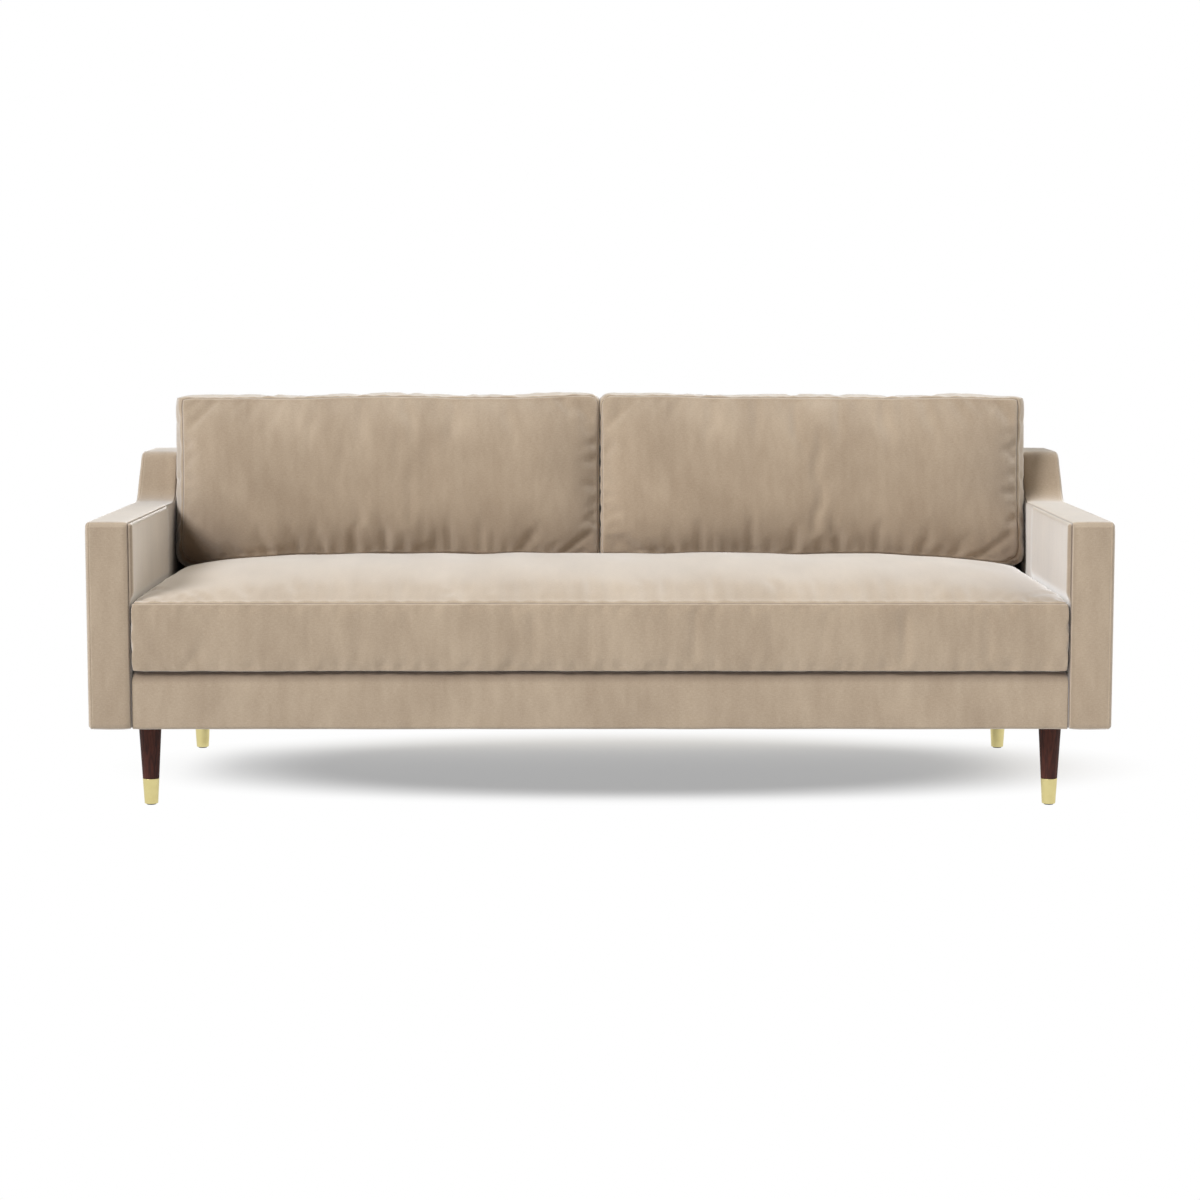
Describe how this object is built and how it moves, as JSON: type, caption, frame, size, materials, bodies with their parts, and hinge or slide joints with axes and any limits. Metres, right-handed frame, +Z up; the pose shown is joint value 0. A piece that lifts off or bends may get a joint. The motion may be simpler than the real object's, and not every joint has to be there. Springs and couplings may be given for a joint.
{
  "type": "sofa",
  "caption": "Low, wide tuxedo sofa in velvet: thin arms that sweep up into the back, one long seat cushion, loose back cushions and tapered wooden legs with metal ferrules.",
  "frame": {"origin": "centre of the footprint, on the floor under the glides", "axes": "+X along the sofa, to the right as seen from the front, +Y from the front to the back, +Z up"},
  "size_m": [2.21, 0.944, 0.8839],
  "materials": {
    "velvet": "warm taupe velvet with a soft sheen",
    "foam": "upholstery foam with fibre wrap",
    "frame_timber": "sawn pine, unfinished",
    "leg_wood": "dark walnut stain, satin lacquer",
    "ferrule_brass": "satin pale brass",
    "spring_steel": "drawn wire, oiled",
    "nylon": "moulded nylon, dark",
    "webbing": "woven elastic webbing",
    "cambric": "thin black dust cloth",
    "zip_tape": "woven zip tape with a closed coil"
  },
  "bodies": {
    "sofa_frame": {"arm_cover_left": "velvet", "arm_cover_right": "velvet", "arm_foam_left": "foam", "arm_foam_right": "foam", "front_post_left": "frame_timber", "front_post_right": "frame_timber", "arm_rail_left": "frame_timber", "arm_rail_right": "frame_timber", "side_frame_left": "frame_timber", "side_frame_right": "frame_timber", "side_rail_left": "frame_timber", "side_rail_right": "frame_timber", "front_rail": "frame_timber", "rear_seat_rail": "frame_timber", "back_bottom_rail": "frame_timber", "centre_stretcher": "frame_timber", "back_lower_rail": "frame_timber", "back_top_rail": "frame_timber", "back_centre_post": "frame_timber", "corner_block_front_left": "frame_timber", "corner_block_front_right": "frame_timber", "corner_block_rear_left": "frame_timber", "corner_block_rear_right": "frame_timber", "seat_spring_mat": "spring_steel", "spring_clip_front": "nylon", "spring_clip_rear": "nylon", "back_webbing": "webbing", "deck_pad": "foam", "deck_cover": "velvet", "rail_cover": "velvet", "rail_foam": "foam", "inside_back_cover": "velvet", "outside_back_cover": "velvet", "back_foam": "foam", "dust_cover": "cambric", "leg_front_left": "leg_wood", "leg_front_right": "leg_wood", "leg_rear_left": "leg_wood", "leg_rear_right": "leg_wood", "ferrule_front_left": "ferrule_brass", "ferrule_front_right": "ferrule_brass", "ferrule_rear_left": "ferrule_brass", "ferrule_rear_right": "ferrule_brass", "hanger_bolt_front_left": "spring_steel", "hanger_bolt_front_right": "spring_steel", "hanger_bolt_rear_left": "spring_steel", "hanger_bolt_rear_right": "spring_steel", "glide_front_left": "nylon", "glide_front_right": "nylon", "glide_rear_left": "nylon", "glide_rear_right": "nylon"},
    "seat_cushion": {"seat_cushion_cover": "velvet", "seat_cushion_core": "foam", "seat_cushion_zip": "zip_tape"},
    "back_cushion_left": {"back_cushion_left_cover": "velvet", "back_cushion_left_core": "foam", "back_cushion_left_zip": "zip_tape"},
    "back_cushion_right": {"back_cushion_right_cover": "velvet", "back_cushion_right_core": "foam", "back_cushion_right_zip": "zip_tape"}
  },
  "joints": [
    {"name": "seat_cushion_out", "type": "slide", "parent": "sofa_frame", "child": "seat_cushion", "axis": [0, -1, 0], "range_m": [0, 0.8]},
    {"name": "back_cushion_left_lift", "type": "slide", "parent": "sofa_frame", "child": "back_cushion_left", "axis": [0, 0.1392, 0.9903], "range_m": [0, 0.35]},
    {"name": "back_cushion_right_lift", "type": "slide", "parent": "sofa_frame", "child": "back_cushion_right", "axis": [0, 0.1392, 0.9903], "range_m": [0, 0.35]}
  ]
}
